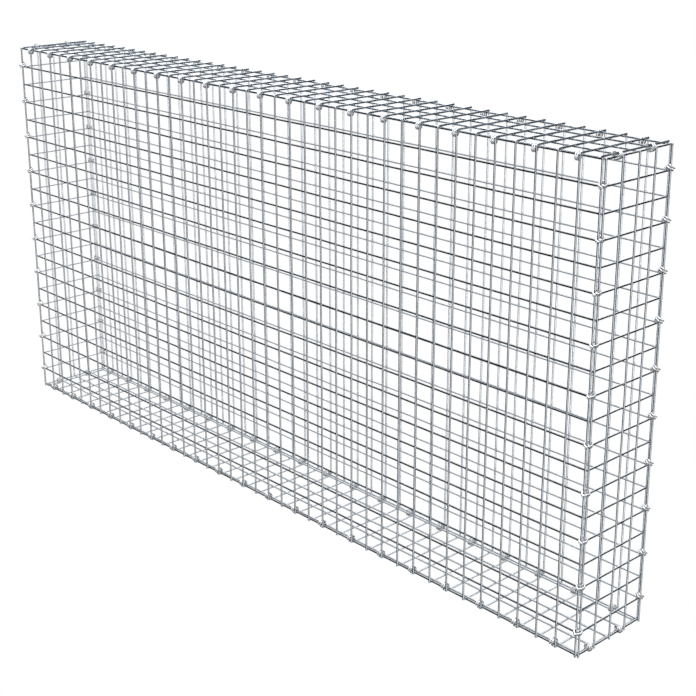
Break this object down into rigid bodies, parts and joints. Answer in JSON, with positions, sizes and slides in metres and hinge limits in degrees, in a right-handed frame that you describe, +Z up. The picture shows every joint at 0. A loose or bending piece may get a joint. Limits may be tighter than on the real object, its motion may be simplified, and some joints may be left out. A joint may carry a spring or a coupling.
{
  "type": "gabion wall basket",
  "caption": "Long, narrow wall gabion: a closed basket of flat welded square-mesh panels, clipped along every edge with short wire spirals and filled with stone in use.",
  "frame": {"origin": "middle of the basket on the ground, under the lowest turns of the clips at its ends", "axes": "+X along the length to the right end, +Y across the depth to the back, +Z up"},
  "size_m": [2.0272, 0.2248, 1.0194],
  "materials": {
    "mesh_wire": "bright galvanised zinc, satin",
    "clip_wire": "bright galvanised zinc, satin"
  },
  "bodies": {
    "root": {"front_mesh_left": "mesh_wire", "front_mesh_middle": "mesh_wire", "front_mesh_right": "mesh_wire", "back_mesh_left": "mesh_wire", "back_mesh_middle": "mesh_wire", "back_mesh_right": "mesh_wire", "left_end_mesh": "mesh_wire", "right_end_mesh": "mesh_wire", "lid_mesh": "mesh_wire", "base_mesh": "mesh_wire", "front_right_corner_clips": "clip_wire", "back_right_corner_clips": "clip_wire", "front_left_corner_clips": "clip_wire", "back_left_corner_clips": "clip_wire", "front_top_clips": "clip_wire", "back_top_clips": "clip_wire", "front_bottom_clips": "clip_wire", "back_bottom_clips": "clip_wire", "right_end_top_clips": "clip_wire", "left_end_top_clips": "clip_wire", "right_end_bottom_clips": "clip_wire", "left_end_bottom_clips": "clip_wire"}
  },
  "joints": []
}
